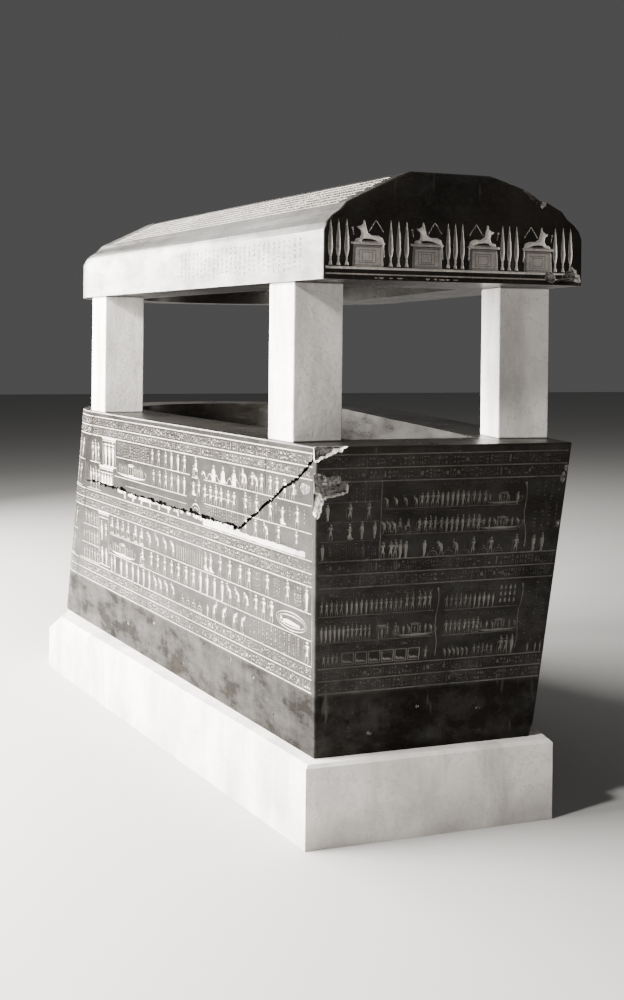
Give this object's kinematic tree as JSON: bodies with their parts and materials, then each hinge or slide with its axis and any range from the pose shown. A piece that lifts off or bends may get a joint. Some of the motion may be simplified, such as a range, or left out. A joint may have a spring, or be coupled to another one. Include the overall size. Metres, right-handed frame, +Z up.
{
  "type": "stone sarcophagus",
  "caption": "Stone sarcophagus with carved registers, flaring toward the rim, with a flat foot end and a rounded head, its ridged lid held above the open chest on square posts, on a low plinth.",
  "frame": {"origin": "middle of the underside of the bounding box, where the plinth stands on the floor", "axes": "+Z up, +Y toward the rounded head end, -Y toward the flat foot end, -X the long side that the picture shows"},
  "size_m": [1.503, 2.852, 1.9469],
  "materials": {
    "plinth": "pale plaster over masonry, matt, stained",
    "chest": "dark granite, worn polish, with lighter cut carving",
    "posts": "pale plaster, matt, stained",
    "lid": "dark granite, worn polish, with lighter cut carving"
  },
  "bodies": {
    "root": {"plinth": "plinth", "chest": "chest", "post_foot_left": "posts", "post_foot_right": "posts", "post_head_left": "posts", "post_head_right": "posts", "lid": "lid"}
  },
  "joints": []
}
